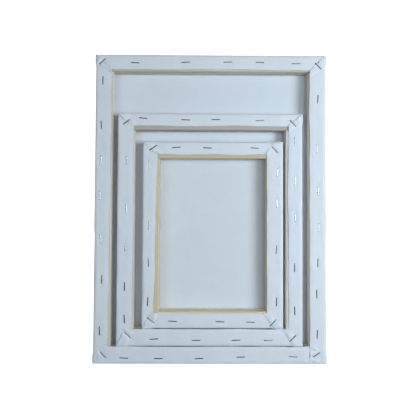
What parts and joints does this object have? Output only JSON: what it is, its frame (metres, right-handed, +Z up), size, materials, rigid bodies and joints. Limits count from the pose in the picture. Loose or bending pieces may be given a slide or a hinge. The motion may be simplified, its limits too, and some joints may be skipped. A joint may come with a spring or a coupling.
{
  "type": "nested set of stretched canvases",
  "caption": "Stretched canvases of falling size, nested in one another's recessed backs: pine stretcher frames with stapled primed cotton, each of which lifts out.",
  "frame": {"origin": "bottom centre of the set's bounding box: the middle of the footprint of the large canvas, on the surface it stands on", "axes": "+Z up the canvases' long side, +Y from their backs towards their painting faces, +X to the right as seen from the back"},
  "size_m": [0.3, 0.0196, 0.4],
  "materials": {
    "cloth": "matt white primed cotton, fine plain weave",
    "pine": "planed, unvarnished pale pine",
    "staple": "galvanised flat wire"
  },
  "bodies": {
    "large_canvas": {"large_bottom_bar": "pine", "large_bottom_left_corner_staple": "staple", "large_bottom_right_corner_staple": "staple", "large_bottom_staple_1": "staple", "large_bottom_staple_3": "staple", "large_bottom_staple_5": "staple", "large_cloth": "cloth", "large_left_bar": "pine", "large_left_staple_1": "staple", "large_left_staple_3": "staple", "large_left_staple_5": "staple", "large_left_staple_7": "staple", "large_right_bar": "pine", "large_right_staple_1": "staple", "large_right_staple_3": "staple", "large_right_staple_5": "staple", "large_right_staple_7": "staple", "large_top_bar": "pine", "large_top_left_corner_staple": "staple", "large_top_right_corner_staple": "staple", "large_top_staple_1": "staple", "large_top_staple_3": "staple", "large_top_staple_5": "staple"},
    "medium_canvas": {"medium_bottom_bar": "pine", "medium_bottom_left_corner_staple": "staple", "medium_bottom_right_corner_staple": "staple", "medium_bottom_staple_1": "staple", "medium_bottom_staple_3": "staple", "medium_cloth": "cloth", "medium_left_bar": "pine", "medium_left_staple_1": "staple", "medium_left_staple_3": "staple", "medium_left_staple_5": "staple", "medium_right_bar": "pine", "medium_right_staple_1": "staple", "medium_right_staple_3": "staple", "medium_right_staple_5": "staple", "medium_top_bar": "pine", "medium_top_left_corner_staple": "staple", "medium_top_right_corner_staple": "staple", "medium_top_staple_1": "staple", "medium_top_staple_3": "staple"},
    "small_canvas": {"small_bottom_bar": "pine", "small_bottom_left_corner_staple": "staple", "small_bottom_right_corner_staple": "staple", "small_bottom_staple_1": "staple", "small_bottom_staple_3": "staple", "small_cloth": "cloth", "small_left_bar": "pine", "small_left_staple_1": "staple", "small_left_staple_3": "staple", "small_right_bar": "pine", "small_right_staple_1": "staple", "small_right_staple_3": "staple", "small_top_bar": "pine", "small_top_left_corner_staple": "staple", "small_top_right_corner_staple": "staple", "small_top_staple_1": "staple", "small_top_staple_3": "staple"}
  },
  "joints": [
    {"name": "medium_lift_out", "type": "slide", "parent": "large_canvas", "child": "medium_canvas", "axis": [0, -1, 0], "range_m": [0, 0.06]},
    {"name": "small_lift_out", "type": "slide", "parent": "medium_canvas", "child": "small_canvas", "axis": [0, -1, 0], "range_m": [0, 0.06]}
  ]
}
